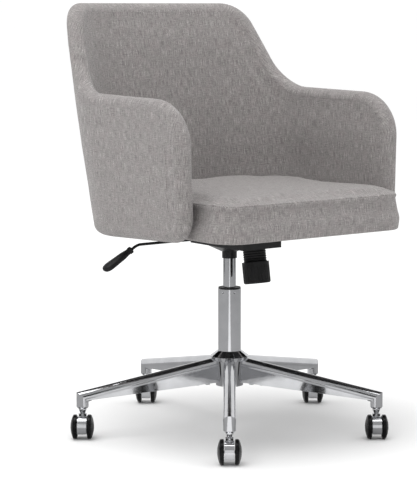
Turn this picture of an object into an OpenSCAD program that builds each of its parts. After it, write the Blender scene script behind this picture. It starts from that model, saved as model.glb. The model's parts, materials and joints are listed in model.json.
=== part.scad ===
// Swivel office chair: five-leg chrome base on twin-wheel casters, gas lift,
// tilting seat mechanism, upholstered seat and wrap-around back.
// Millimetres, +Z up, the sitter faces -Y, the origin is on the floor on the swivel axis.

/* [Casters] */
// Radius of a caster wheel
wheel_r = 26; // [20:0.5:32]
// Width of one caster wheel
wheel_w = 14; // [10:0.5:18]
// Width of the chrome hood between the two wheels
hood_w = 20; // [16:0.5:28]
// Distance from the stem axis to the wheel axle
trail = 14; // [8:0.5:18]
// Height of the caster's neck between the wheels' top and the leg
neck_h = 12; // [10:0.5:18]
// Radius of the stem pin that turns in the leg
stem_r = 5.5; // [4:0.25:6.5]

/* [Base] */
// Radius of the circle of the caster stems
stem_circle_r = 330; // [270:1:400]
// Width of a leg
leg_w = 26; // [21:0.5:32]
// Wall of a pressed leg
leg_wall = 2.5; // [1.5:0.1:3]
// Depth of the post below the leg's tip
post_h = 17; // [14:0.5:24]
// Depth of the leg at its tip
leg_tip_depth = 20; // [16:0.5:26]
// Rise of the leg's lower edge from the tip to the hub
leg_low_rise = 21; // [14:0.5:30]
// Rise of the leg's crest from the tip to the hub
leg_crest_rise = 55; // [44:0.5:70]
// Turn of the first leg from straight ahead
leg_turn = 37.6; // [0:0.1:72]
// Radius of the hub's flared ring
hub_flare_r = 43; // [40:0.5:52]

/* [Column] */
// Radius of the outer tube
tube_r = 25; // [22:0.5:28]
// Wall of the outer tube
tube_wall = 2; // [1.5:0.1:2.5]
// Length of the outer tube above the hub
tube_exposed = 136; // [100:1:170]
// Radius of the gas cylinder
gas_r = 14; // [13:0.25:16]
// Length of the gas cylinder that shows at full height
gas_exposed = 67; // [64:1:90]
// Travel of the gas lift
lift_travel = 60; // [40:1:62]

/* [Mechanism] */
// Depth of the mechanism's pan, from its floor to the tilt shaft
tilt_rise = 33.5; // [32:0.5:42]
// Half the width of the mechanism's pan
pan_half_w = 52; // [48:0.5:64]
// Radius of the tilt shaft
shaft_r = 6; // [5:0.25:7]
// Distance of the tilt shaft ahead of the column
shaft_ahead = 32; // [28:0.5:38]
// Lean of the tension bolt
bolt_lean = 9; // [4:0.5:12]
// Recline of the seat at its stop
tilt_max = 12; // [8:0.5:14]
// Radius of the tension knob
knob_r = 29; // [27:0.5:34]
// Radius of the tension bolt
bolt_r = 5; // [4:0.25:6]
// Radius of the lever's rod
rod_r = 3; // [2.5:0.25:4]
// Distance of the lever's bend from the column
lever_reach = 228; // [190:1:270]
// Downward bend of the lever
lever_bend = 29; // [15:1:35]

/* [Upholstery] */
// Height of the top of the back above the underside of the seat
back_rise = 465; // [400:1:560]
// Height of the armrests above the underside of the seat
arm_rise = 276; // [230:1:330]
// Half the width across the middle of the arms' walls, at the bottom
shell_half_w = 269; // [225:1:322]
// Widening of the shell from the bottom to the top
shell_flare = 8; // [0:1:16]
// Distance of the back behind the column, at the bottom
shell_back = 196; // [175:1:235]
// Backward lean of the back, from the bottom to the top
back_lean = 109; // [80:1:130]
// Distance of the arms' front edge ahead of the column
arm_ahead = 221; // [190:1:265]
// Radius of the shell's rear corners in plan
corner_r = 160; // [130:1:175]
// Thickness of the padded shell
shell_t = 39; // [33:0.5:46]
// Thickness of the plywood core in the shell
core_t = 10; // [8:0.5:12]
// Distance of the seat's front edge ahead of the column
seat_ahead = 311; // [280:1:370]
// Height of the seat's side below its welt
seat_side_h = 69; // [58:1:82]
// Depth of the rolled edge of the seat's cover, below the seat board
seat_lip = 9; // [4:0.5:12]
// Thickness of the seat board
board_t = 12; // [10:0.5:16]

/* [Hidden] */
$fn = 64;

// Clearances
run_gap = 0.05;   // radial, round a shaft or pin that turns or slides
free_gap = 0.3;   // between faces of parts that move past each other
bolt_gap = 0.2;   // radial, round a bolt's shank

// Colours
chrome = [0.80, 0.80, 0.82];
steel = [0.55, 0.56, 0.58];
black = [0.08, 0.08, 0.09];
plywood = [0.72, 0.56, 0.38];
fabric = [0.56, 0.54, 0.54];

// Heights, stacked from the floor
post_low_z = 2 * wheel_r + neck_h;
leg_low_tip_z = post_low_z + post_h;
crest_tip_z = leg_low_tip_z + leg_tip_depth;
leg_low_hub_z = leg_low_tip_z + leg_low_rise;
crest_hub_z = crest_tip_z + leg_crest_rise;
hub_low_z = leg_low_hub_z - 8;
hub_flare_z = crest_hub_z + 3;
hub_top_z = hub_flare_z + 12;
tube_top_z = hub_top_z + tube_exposed;
collar_z = tube_top_z + gas_exposed;
dish_z = collar_z + 15;
pan_z = dish_z + 15;
pan_t = 2.5;
tilt_z = pan_z + tilt_rise;
plate_t = 3;
plate_z = tilt_z + 15.5;
cover_t = 1;
seat_z = plate_z + plate_t + cover_t;
back_top_z = seat_z + back_rise;
first_leg_angle = 270 - leg_turn;

// A cylinder along X, from x0 to x1
module x_bar(x0, x1, r) {
    translate([x0, 0, 0]) rotate([0, 90, 0]) cylinder(r = r, h = x1 - x0);
}

// A cylinder along Y, from y0 to y1
module y_bar(y0, y1, r) {
    translate([0, y1, 0]) rotate([90, 0, 0]) cylinder(r = r, h = y1 - y0);
}

// A ring with its lower face at z
module ring(r_in, r_out, z, h) {
    translate([0, 0, z]) difference() {
        cylinder(r = r_out, h = h);
        translate([0, 0, -1]) cylinder(r = r_in, h = h + 2);
    }
}

// ---------- Base ----------

hub_low_r = tube_r + 5;
hub_neck_r = tube_r + 11;
leg_r = leg_w / 2;
leg_step = 1;
crest_slope = atan(leg_crest_rise / (stem_circle_r - hub_neck_r));
low_slope = atan(leg_low_rise / (stem_circle_r - hub_neck_r));
socket_r = stem_r + 3;
socket_h = 28;
tongue_reach = 88;
tongue_t = 10;
tongue_z = leg_low_hub_z - 1;
leg_bolt_r = 3;
leg_bolt_at = [50, 74];

function crest_z(x) = crest_hub_z - (x - hub_neck_r) * tan(crest_slope);
function crest_axis_z(x) = crest_z(x) - leg_r / cos(crest_slope);
function low_z(x) = leg_low_hub_z - (x - hub_neck_r) * tan(low_slope);
function leg_angle(i) = first_leg_angle + 72 * (i - 1);

// The hub's outer form, without its bore
module hub_form() {
    rotate_extrude() polygon([
        [0, hub_low_z],
        [hub_low_r, hub_low_z],
        [hub_neck_r, crest_hub_z - 6],
        [hub_flare_r, hub_flare_z],
        [tube_r + 1.5, hub_top_z],
        [0, hub_top_z]
    ]);
}

// A round-topped bar along the crest, reaching down to drop below the lower edge; its sides
// stand back by leg_step from its round top
module crest_bar(r, drop, reach) {
    translate([0, 0, crest_axis_z(0)]) rotate([0, 90 + crest_slope, 0])
        cylinder(r = r, h = reach / cos(crest_slope));
    rotate([90, 0, 0]) linear_extrude(2 * (r - leg_step), center = true) polygon([
        [0, crest_axis_z(0)],
        [reach, crest_axis_z(reach)],
        [reach, low_z(reach) - drop],
        [0, low_z(0) - drop]
    ]);
}

// Puts its children on the mitre between the crest and the post, with +Z towards the hub
module at_leg_mitre() {
    translate([stem_circle_r, 0, crest_axis_z(stem_circle_r)]) rotate([0, (crest_slope - 90) / 2, 0]) children();
}

// The leg's outer form: crest, sides and post, mitred at the tip; both bars are turned by 90
// about their own axes, so that where each surface closes is square to the mitre's plane
module leg_form() {
    big = 4 * leg_w;
    difference() {
        translate([0, 0, crest_axis_z(0)]) rotate([0, 90 + crest_slope, 0]) rotate([0, 0, 90])
            cylinder(r = leg_r, h = (stem_circle_r + leg_w) / cos(crest_slope));
        at_leg_mitre() translate([-big / 2, -big / 2, -big]) cube(big);
    }
    difference() {
        translate([stem_circle_r, 0, post_low_z + 3]) rotate([0, 0, 90])
            cylinder(r = leg_r, h = crest_tip_z + leg_w - post_low_z);
        at_leg_mitre() translate([-big / 2, -big / 2, 0]) cube(big);
    }
    translate([stem_circle_r, 0, post_low_z]) cylinder(r1 = leg_r - 2, r2 = leg_r, h = 3);
    rotate([90, 0, 0]) linear_extrude(2 * (leg_r - leg_step), center = true) polygon([
        [0, crest_axis_z(0)],
        [stem_circle_r, crest_axis_z(stem_circle_r)],
        [stem_circle_r, low_z(stem_circle_r)],
        [0, low_z(0)]
    ]);
}

module base_leg(i) {
    block_z = tongue_z + tongue_t;
    block_half = leg_r - leg_step - 1;
    color(chrome) rotate([0, 0, leg_angle(i)]) difference() {
        union() {
            difference() {
                leg_form();
                crest_bar(leg_r - leg_wall, 30, stem_circle_r - leg_r - 5);
            }
            translate([40, -block_half, block_z]) cube([tongue_reach - 42, 2 * block_half, 10]);
        }
        hub_form();
        for (x = leg_bolt_at)
            translate([x, 0, block_z - 1]) cylinder(r = leg_bolt_r, h = 9);
        translate([stem_circle_r, 0, post_low_z - 1]) cylinder(r = socket_r, h = socket_h + 1);
    }
}

module base_hub() {
    tongue_half = leg_r - leg_step - leg_wall - 0.4;
    color(chrome) difference() {
        union() {
            hub_form();
            for (i = [1:5]) rotate([0, 0, leg_angle(i)])
                translate([tube_r, -tongue_half, tongue_z])
                    cube([tongue_reach - tube_r, 2 * tongue_half, tongue_t]);
        }
        translate([0, 0, hub_low_z - 1]) cylinder(r = tube_r, h = hub_top_z);
        for (i = [1:5], x = leg_bolt_at) rotate([0, 0, leg_angle(i)])
            translate([x, 0, tongue_z - 1]) cylinder(r = leg_bolt_r + bolt_gap, h = tongue_t + 2);
    }
}

module leg_bolts() {
    color(steel) for (i = [1:5], x = leg_bolt_at) rotate([0, 0, leg_angle(i)])
        translate([x, 0, tongue_z - 4]) {
            cylinder(r = 5.5, h = 4, $fn = 6);
            cylinder(r = leg_bolt_r, h = 4 + tongue_t + 7);
        }
}

module caster_sockets() {
    color(steel) for (i = [1:5]) rotate([0, 0, leg_angle(i)])
        translate([stem_circle_r, 0, 0])
            ring(stem_r + run_gap, socket_r, post_low_z, socket_h);
}

// ---------- Casters ----------

axle_r = 3;
hood_r = wheel_r - 3.5;
wheel_in = hood_w / 2 + 1;
stem_top_z = post_low_z + socket_h - 2;
spigot_r = stem_r - 1.5;
spigot_depth = 10;

// Puts its children on caster i: +X is the rolling direction, the stem is at the origin
module at_caster(i) {
    rotate([0, 0, leg_angle(i)]) translate([stem_circle_r, 0, 0])
        rotate([0, 0, first_leg_angle - leg_angle(i)]) children();
}

module caster_stem(i) {
    boss_z = 2 * wheel_r;
    color(chrome) at_caster(i) rotate_extrude() polygon([
        [0, boss_z - spigot_depth],
        [spigot_r, boss_z - spigot_depth],
        [spigot_r, boss_z],
        [stem_r, boss_z],
        [stem_r + 0.3, boss_z + 0.2 * neck_h],
        [stem_r + 2.7, boss_z + 0.7 * neck_h],
        [stem_r + 2.7, post_low_z - 0.2],
        [stem_r, post_low_z - 0.2],
        [stem_r, stem_top_z - 1],
        [stem_r - 1, stem_top_z],
        [0, stem_top_z]
    ]);
}

module caster_hood(i) {
    color(chrome) at_caster(i) difference() {
        union() {
            difference() {
                translate([trail, 0, wheel_r]) y_bar(-hood_w / 2, hood_w / 2, hood_r);
                translate([trail - wheel_r, -hood_w, 0]) cube([2 * wheel_r, 2 * hood_w, wheel_r / 2]);
            }
            translate([0, 0, wheel_r + 4]) cylinder(r = stem_r + 3, h = wheel_r - 4);
        }
        translate([trail, 0, wheel_r]) y_bar(-hood_w, hood_w, axle_r);
        translate([0, 0, 2 * wheel_r - spigot_depth]) cylinder(r = spigot_r, h = spigot_depth + 1);
    }
}

module caster_axle(i) {
    reach = wheel_in + wheel_w - 4;
    color(steel) at_caster(i) translate([trail, 0, wheel_r]) y_bar(-reach, reach, axle_r);
}

// One wheel, its inner face at y = 0 and its dome towards +Y
module wheel_form() {
    dome_r = 2.2 * wheel_r;
    shoulder = 0.45 * wheel_w;
    rotate([-90, 0, 0]) difference() {
        intersection() {
            rotate_extrude() polygon([
                [0, 0],
                [wheel_r - 2, 0],
                [wheel_r, 1.5],
                [wheel_r, shoulder],
                [wheel_r - 2.5, 0.8 * wheel_w],
                [wheel_r - 6, wheel_w],
                [0, wheel_w]
            ]);
            translate([0, 0, wheel_w - dome_r]) sphere(r = dome_r, $fn = 96);
        }
        translate([0, 0, -1]) cylinder(r = axle_r + run_gap, h = wheel_w - 2);
        ring(wheel_r - 10, wheel_r - 4, -1, 3);
    }
}

module wheel_left(i) {
    color(black) at_caster(i) translate([trail, wheel_in, wheel_r]) wheel_form();
}

module wheel_right(i) {
    color(black) at_caster(i) translate([trail, -wheel_in, wheel_r]) mirror([0, 1, 0]) wheel_form();
}

// ---------- Column ----------

tube_low_z = hub_low_z + 4;
tube_floor_t = 4;
tube_in_r = tube_r - tube_wall;
rod_in_r = 5;
bearing_z = tube_low_z + tube_floor_t + 0.1;
bearing_h = 6;
bush_h = 20;
gas_low_z = bearing_z + bearing_h + 3 + lift_travel + 14;
gas_floor_t = 10;
gas_in_r = gas_r - 2.4;
piston_z = gas_low_z + gas_floor_t + 5;
pin_r = 3;
pin_top_z = pan_z + 4;

module column_tube() {
    color(chrome) difference() {
        translate([0, 0, tube_low_z]) cylinder(r = tube_r, h = tube_top_z - tube_low_z);
        translate([0, 0, tube_low_z + tube_floor_t]) cylinder(r = tube_in_r, h = tube_top_z);
        translate([0, 0, tube_low_z - 1]) cylinder(r = rod_in_r + run_gap, h = tube_floor_t + 2);
        // Stakes that hold the bush
        for (a = [0:60:300]) rotate([0, 0, first_leg_angle + 25 + a])
            translate([tube_r + 1.4, 0, tube_top_z - 7]) sphere(r = 2.6, $fn = 24);
    }
}

module column_bush() {
    color(black) {
        ring(gas_r + run_gap, tube_in_r, tube_top_z - bush_h, bush_h);
        ring(gas_r + run_gap, tube_r - 0.6, tube_top_z, 3);
    }
}

module piston_rod() {
    color(chrome) {
        translate([0, 0, hub_low_z - 1]) cylinder(r = rod_in_r, h = piston_z + 12 - hub_low_z + 1);
        translate([0, 0, bearing_z + bearing_h]) cylinder(r = 12, h = 3);
        translate([0, 0, piston_z]) cylinder(r = gas_in_r - run_gap, h = 12);
    }
}

module thrust_bearing() {
    color(steel) difference() {
        ring(rod_in_r, 15, bearing_z, bearing_h);
        ring(14, 16, bearing_z + 2, bearing_h - 4);
    }
}

module retaining_clip() {
    color(steel) ring(rod_in_r, 9, tube_low_z - 1.9, 1.8);
}

module gas_cylinder() {
    cavity_top_z = pan_z - 24;
    color(chrome) difference() {
        translate([0, 0, gas_low_z]) cylinder(r = gas_r, h = pan_z - gas_low_z);
        translate([0, 0, gas_low_z - 1]) cylinder(r = rod_in_r + run_gap, h = gas_floor_t + 2);
        translate([0, 0, gas_low_z + gas_floor_t])
            cylinder(r = gas_in_r, h = cavity_top_z - gas_low_z - gas_floor_t);
        translate([0, 0, pan_z - 20]) cylinder(r = pin_r + run_gap, h = 21);
    }
}

module release_pin() {
    color(steel) translate([0, 0, pan_z - 16]) cylinder(r = pin_r, h = pin_top_z - pan_z + 16);
}

// ---------- Mechanism ----------

// Along the tension bolt, s = 0 is the middle of the knob and s grows upwards
knob_half = 23;
knob_ahead = 94;
knob_mid_z = pan_z - 52;
bolt_arm = 48;
eye_s = (tilt_z + bolt_arm * sin(bolt_lean - tilt_max / 2) - knob_mid_z) / cos(bolt_lean);
eye_ahead = shaft_ahead + bolt_arm * cos(bolt_lean - tilt_max / 2);
bolt_foot_ahead = eye_ahead + eye_s * sin(bolt_lean);
sleeve_r = knob_r - 4;
sleeve_in_r = sleeve_r - 3.5;
sleeve_low_s = 2;
sleeve_ledge_s = 40;
knob_floor_t = 5;
knob_travel = 5;
boss_top_s = -8;
eye_r = 9;
eye_half = 8;
eye_pin_r = 4;

// Puts its children on the tension bolt's axis, with +Z up along the bolt
module at_bolt() {
    translate([0, -bolt_foot_ahead, knob_mid_z]) rotate([-bolt_lean, 0, 0]) children();
}

// The lever's pivot and its rod
cam_x = -30;
rod_y = 20;
rod_z = pan_z + 14;
cam_half = 9;
nose_r = 6;
nose_z = pin_top_z + free_gap + nose_r;
trunnion_r = 4;
lug_t = 4;
lug_y = cam_half + 2;

pan_rear = 72;
pan_front = bolt_foot_ahead + 20;
wall_top = tilt_z + 10;

module pan_walls() {
    slope_top = wall_top - (pan_rear + shaft_ahead) * sin(tilt_max) - 2;
    difference() {
        translate([-pan_half_w, 0, 0]) rotate([90, 0, 90]) linear_extrude(2 * pan_half_w) polygon([
            [pan_rear, pan_z],
            [pan_rear, slope_top],
            [-shaft_ahead, wall_top],
            [-shaft_ahead - 20, wall_top],
            [-pan_front, wall_top - 10],
            [-pan_front, pan_z]
        ]);
        translate([-pan_half_w + pan_t, -pan_front + pan_t, pan_z + pan_t])
            cube([2 * (pan_half_w - pan_t), pan_front + pan_rear - 2 * pan_t, wall_top]);
    }
}

module mechanism_housing() {
    color(black) difference() {
        union() {
            pan_walls();
            translate([0, 0, dish_z]) cylinder(r1 = gas_r + 5, r2 = pan_half_w, h = pan_z - dish_z + 0.5);
            translate([0, 0, collar_z]) cylinder(r = gas_r + 2.2, h = dish_z - collar_z + 1);
            for (y = [rod_y - lug_y - lug_t, rod_y + lug_y])
                translate([cam_x - 8, y, pan_z + 1]) cube([16, lug_t, rod_z + 6 - pan_z - 1]);
        }
        translate([0, 0, collar_z - 1]) cylinder(r = gas_r, h = pan_z);
        translate([cam_x, 0, rod_z]) y_bar(-10, 50, trunnion_r + run_gap);
        translate([-pan_half_w - 1, rod_y - rod_r - 1.5, rod_z - rod_r - 3])
            cube([pan_t + 2, 2 * rod_r + 3, 2 * rod_r + 6]);
        translate([0, -shaft_ahead, tilt_z]) x_bar(-pan_half_w - 1, pan_half_w + 1, shaft_r + 3);
        at_bolt() translate([0, 0, sleeve_ledge_s]) cylinder(r = bolt_r + 3, h = 40);
    }
}

module pivot_bushes() {
    color(steel) translate([0, -shaft_ahead, tilt_z]) for (side = [-1, 1]) difference() {
        x_bar(side * pan_half_w - 5, side * pan_half_w + 5, shaft_r + 3);
        x_bar(side * pan_half_w - 6, side * pan_half_w + 6, shaft_r + run_gap);
    }
}

module tension_sleeve() {
    rib_pitch = 5;
    ribs = 9;
    color(black) difference() {
        at_bolt() difference() {
            union() {
                translate([0, 0, sleeve_low_s]) cylinder(r = sleeve_r - 1.4, h = 60);
                for (k = [0:ribs]) translate([0, 0, sleeve_low_s + k * rib_pitch]) {
                    cylinder(r1 = sleeve_r - 1.4, r2 = sleeve_r, h = rib_pitch * 0.45);
                    translate([0, 0, rib_pitch * 0.45])
                        cylinder(r1 = sleeve_r, r2 = sleeve_r - 1.4, h = rib_pitch * 0.45);
                }
            }
            translate([0, 0, sleeve_low_s - 1])
                cylinder(r = sleeve_in_r, h = sleeve_ledge_s - sleeve_low_s + 1);
            translate([0, 0, sleeve_low_s]) cylinder(r = bolt_r + 2, h = 80);
        }
        translate([-100, -200, pan_z]) cube([200, 200, 100]);
    }
}

// A coil spring on the bolt between the spring seat and the sleeve's ledge
module tension_spring() {
    turns = 6;
    steps = 14;
    sides = 8;
    wire_r = 1.9;
    coil_r = 16;
    low_s = boss_top_s + 5.4 + wire_r;
    high_s = sleeve_ledge_s - 0.3 - wire_r;
    rings = turns * steps;
    function spring_point(k, j) =
        let (a = 360 * k / steps, b = 360 * j / sides, r = coil_r + wire_r * cos(b))
        [r * cos(a), r * sin(a), low_s + (high_s - low_s) * k / rings + wire_r * sin(b)];
    points = [for (k = [0:rings], j = [0:sides - 1]) spring_point(k, j)];
    skin = [for (k = [0:rings - 1], j = [0:sides - 1])
        let (n = (j + 1) % sides)
        [k * sides + j, k * sides + n, (k + 1) * sides + n, (k + 1) * sides + j]];
    caps = [
        [for (j = [0:sides - 1]) sides - 1 - j],
        [for (j = [0:sides - 1]) rings * sides + j]
    ];
    color(steel) at_bolt() polyhedron(points, concat(skin, caps), convexity = 12);
}

module spring_seat() {
    color(steel) at_bolt() ring(bolt_r + run_gap, sleeve_in_r - 1.5, boss_top_s + 0.1, 5);
}

module tension_knob() {
    flutes = 24;
    color(black) at_bolt() difference() {
        union() {
            difference() {
                translate([0, 0, -knob_half]) cylinder(r1 = knob_r - 2, r2 = knob_r, h = 3);
                translate([0, 0, -knob_half - 1]) cylinder(r = 4, h = 1.5);
            }
            translate([0, 0, -knob_half + 3]) cylinder(r = knob_r, h = 2 * knob_half - 3);
        }
        difference() {
            translate([0, 0, -knob_half + knob_floor_t]) cylinder(r = knob_r - 3, h = 2 * knob_half);
            cylinder(r = 9, h = 2 * (knob_half + boss_top_s), center = true);
            translate([0, 0, -knob_half]) cylinder(r = 9, h = knob_half + boss_top_s);
        }
        translate([0, 0, -knob_half + 2]) cylinder(r = bolt_r + run_gap, h = knob_half);
        translate([0, 0, boss_top_s]) cylinder(r = knob_r - 3, h = knob_half * 2);
        for (k = [0:flutes - 1]) rotate([0, 0, 360 * k / flutes])
            translate([knob_r + 1.1, 0, -knob_half + 6]) cylinder(r = 1.9, h = 2 * knob_half - 14, $fn = 16);
    }
}

module tension_bolt() {
    bolt_low_s = -knob_half + 3 + knob_travel;
    color(steel) at_bolt() difference() {
        union() {
            translate([0, 0, bolt_low_s]) cylinder(r = bolt_r, h = eye_s - bolt_low_s);
            translate([0, 0, eye_s]) x_bar(-eye_half, eye_half, eye_r);
        }
        translate([0, 0, eye_s]) x_bar(-eye_half - 1, eye_half + 1, eye_pin_r + run_gap);
    }
}

module lever_cam() {
    color(steel) difference() {
        union() {
            translate([cam_x - 14, rod_y - cam_half, rod_z - 8]) cube([28, 2 * cam_half, 16]);
            translate([cam_x + 12, -nose_r, nose_z - 2]) cube([-cam_x - 10, rod_y + cam_half - 1 + nose_r, 5]);
            translate([0, 0, nose_z]) y_bar(-nose_r, nose_r, nose_r);
            translate([cam_x, rod_y, rod_z])
                y_bar(-lug_y - lug_t, lug_y + lug_t, trunnion_r);
        }
        translate([0, rod_y, rod_z]) x_bar(cam_x - 20, 20, rod_r + run_gap);
    }
}

// The lever's rod: straight out of the mechanism, then mitred down to the handle
rod_tail = 27;
handle_len = 74;

// Puts its children on the lever's mitre, with +Z along the rod once it has turned by angle
module at_mitre(angle) {
    translate([-lever_reach, rod_y, rod_z]) rotate([0, -90 - angle, 0]) children();
}

// Two bars mitred at the bend, turned by 90 about their own axes like the leg's
module lever_rod() {
    over = 4 * rod_r;
    color(black) {
        difference() {
            translate([0, rod_y, rod_z]) rotate([90, 0, 0]) x_bar(-lever_reach - over, cam_x + 12, rod_r);
            at_mitre(lever_bend / 2) translate([-over, -over, 0]) cube(2 * over);
        }
        difference() {
            at_mitre(lever_bend) translate([0, 0, -over]) rotate([0, 0, 90])
                cylinder(r = rod_r, h = rod_tail + 20 + over);
            at_mitre(lever_bend / 2) translate([-over, -over, -2 * over]) cube(2 * over);
        }
    }
}

module lever_handle() {
    color(black) at_mitre(lever_bend) difference() {
        union() {
            translate([0, 0, rod_tail - 8]) cylinder(r = 5.5, h = 6);
            translate([0, 0, rod_tail - 3]) cylinder(r = 4.6, h = 8);
            hull() {
                translate([0, 0, rod_tail + 5]) cylinder(r1 = 4.5, r2 = 6.5, h = 6, $fn = 32);
                for (y = [-5, 5]) translate([0, y, rod_tail + handle_len - 14])
                    sphere(r = 8, $fn = 32);
                for (y = [-3.5, 3.5]) translate([0, y, rod_tail + 0.5 * handle_len])
                    sphere(r = 7, $fn = 32);
            }
        }
        translate([0, 0, rod_tail - 10]) cylinder(r = rod_r, h = 30);
    }
}

// ---------- Seat plate and its shaft ----------

plate_half_w = 95;
plate_rear = 105;
plate_front = 125;
flange_in = pan_half_w + 6;
flange_t = 3;
seat_bolt_r = 3;
seat_bolt_at = [for (x = [-80, 80], y = [-plate_front + 15, plate_rear - 15]) [x, y]];

module seat_plate() {
    color(black) difference() {
        union() {
            translate([-plate_half_w, -plate_front, plate_z])
                cube([2 * plate_half_w, plate_front + plate_rear, plate_t]);
            for (x = [-flange_in - flange_t, flange_in])
                translate([x, -shaft_ahead - 16, tilt_z - 9]) cube([flange_t, 32, plate_z - tilt_z + 10]);
            for (x = [-eye_half - 4.5, eye_half + 1.5])
                translate([x, -eye_ahead - 10, tilt_z - 6]) cube([3, 20, plate_z - tilt_z + 7]);
            translate([0, -eye_ahead, knob_mid_z + eye_s * cos(bolt_lean)])
                x_bar(-eye_half - 4, eye_half + 4, eye_pin_r);
        }
        translate([0, -shaft_ahead, tilt_z]) x_bar(-flange_in - 10, flange_in + 10, shaft_r);
        for (p = seat_bolt_at) translate([p.x, p.y, plate_z - 1])
            cylinder(r = seat_bolt_r + bolt_gap, h = plate_t + 2);
    }
}

module tilt_shaft() {
    reach = flange_in + flange_t + 6;
    color(steel) translate([0, -shaft_ahead, tilt_z]) x_bar(-reach, reach, shaft_r);
}

module shaft_clips() {
    face = flange_in + flange_t;
    color(steel) translate([0, -shaft_ahead, tilt_z]) for (x = [-face - 1.6, face + 0.1]) difference() {
        x_bar(x, x + 1.5, shaft_r + 4);
        x_bar(x - 1, x + 3, shaft_r);
    }
}

module seat_bolts() {
    color(steel) for (p = seat_bolt_at) translate([p.x, p.y, plate_z - 4]) {
        cylinder(r = 6, h = 4, $fn = 6);
        cylinder(r = seat_bolt_r, h = 4 + plate_t + cover_t + board_t - 1);
    }
}

// ---------- Shell: a padded sheet that wraps round the back and both arms ----------

// The sheet is laid out flat: s runs along the wall from the middle of the back, z is height.
ref_z = seat_z - 19;
shell_low_back_z = seat_z - 26;
shell_low_front_z = seat_z - 11;
arm_front_z = seat_z + arm_rise - 4;
arm_back_z = seat_z + arm_rise + 2;
mid_z = (ref_z + arm_back_z) / 2;
side_bulge = 3;
back_sag = 4;
back_run = 240;
valley_run = 317;

function rise(z) = (z - ref_z) / (back_top_z - ref_z);
function half_w(z) = let (g = rise(z)) shell_half_w + shell_flare * g + 4 * side_bulge * g * (1 - g);
function half_b(z) = let (g = rise(z)) shell_back + back_lean * g - 4 * back_sag * g * (1 - g);

run_back = half_w(mid_z) - corner_r;
run_corner = PI * corner_r / 2;
run_arm = arm_ahead + half_b(mid_z) - corner_r;
run_end = run_back + run_corner + run_arm;

// Takes a point of the laid-out sheet to its place; h is the distance outwards from mid-wall
function place(s, z, h) =
    let (
        a = abs(s),
        side = s < 0 ? -1 : 1,
        w = half_w(z),
        b = half_b(z),
        turn = 90 * min(max((a - run_back) / run_corner, 0), 1),
        ahead = max((a - run_back - run_corner) / run_arm, 0),
        x = a < run_back ? (w - corner_r) * a / run_back : w - corner_r + (corner_r + h) * sin(turn),
        y = b - corner_r + (corner_r + h) * cos(turn) - ahead * (arm_ahead + b - corner_r)
    )
    [side * x, y, z];

function unit(v) = v / norm(v);

// Points of a rounded corner at b, between the lines to a and c
function round_corner(a, b, c, r, steps) =
    let (
        u = unit(a - b),
        v = unit(c - b),
        half = acos(u * v) / 2,
        centre = b + unit(u + v) * r / sin(half),
        p = b + u * r / tan(half) - centre,
        q = b + v * r / tan(half) - centre,
        from = atan2(p.y, p.x),
        sweep = atan2(p.x * q.y - p.y * q.x, p * q)
    )
    [for (k = [0:steps]) centre + r * [cos(from + sweep * k / steps), sin(from + sweep * k / steps)]];

// Adds points so that no stretch is longer than step
function divide(pts, step) = concat(
    [for (i = [0:len(pts) - 2])
        let (n = ceil(norm(pts[i + 1] - pts[i]) / step))
        for (k = [0:n - 1]) pts[i] + (pts[i + 1] - pts[i]) * k / n],
    [pts[len(pts) - 1]]
);

top_a = [0, back_top_z];
top_b = [back_run, back_top_z];
top_c = [valley_run, arm_back_z];
top_d = [run_end, arm_front_z];
low_a = [0, shell_low_back_z];
low_b = [run_back + 0.4 * run_corner, shell_low_back_z];
low_c = [run_end, shell_low_front_z];

top_line = divide(concat(
    [top_a],
    round_corner(top_a, top_b, top_c, 74, 5),
    round_corner(top_b, top_c, top_d, 102, 5),
    round_corner(top_c, top_d, low_c, 95, 7)
), 34);
low_curve = concat(
    [low_a],
    round_corner(low_a, low_b, low_c, 400, 3),
    round_corner(low_b, low_c, top_d, 56, 8)
);
low_line = [for (p = top_line) [p.x, lookup(p.x, low_curve)]];

// Outward normals of a line of points, with side = 1 where outwards is to the left
function normals(pts, side) = let (last = len(pts) - 1) [for (i = [0:last])
    i == 0 ? [0, side] :
    i == last ? [1, 0] :
    let (d = unit(pts[i + 1] - pts[i - 1])) side * [-d.y, d.x]];
top_out = normals(top_line, 1);
low_out = normals(low_line, -1);

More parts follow.
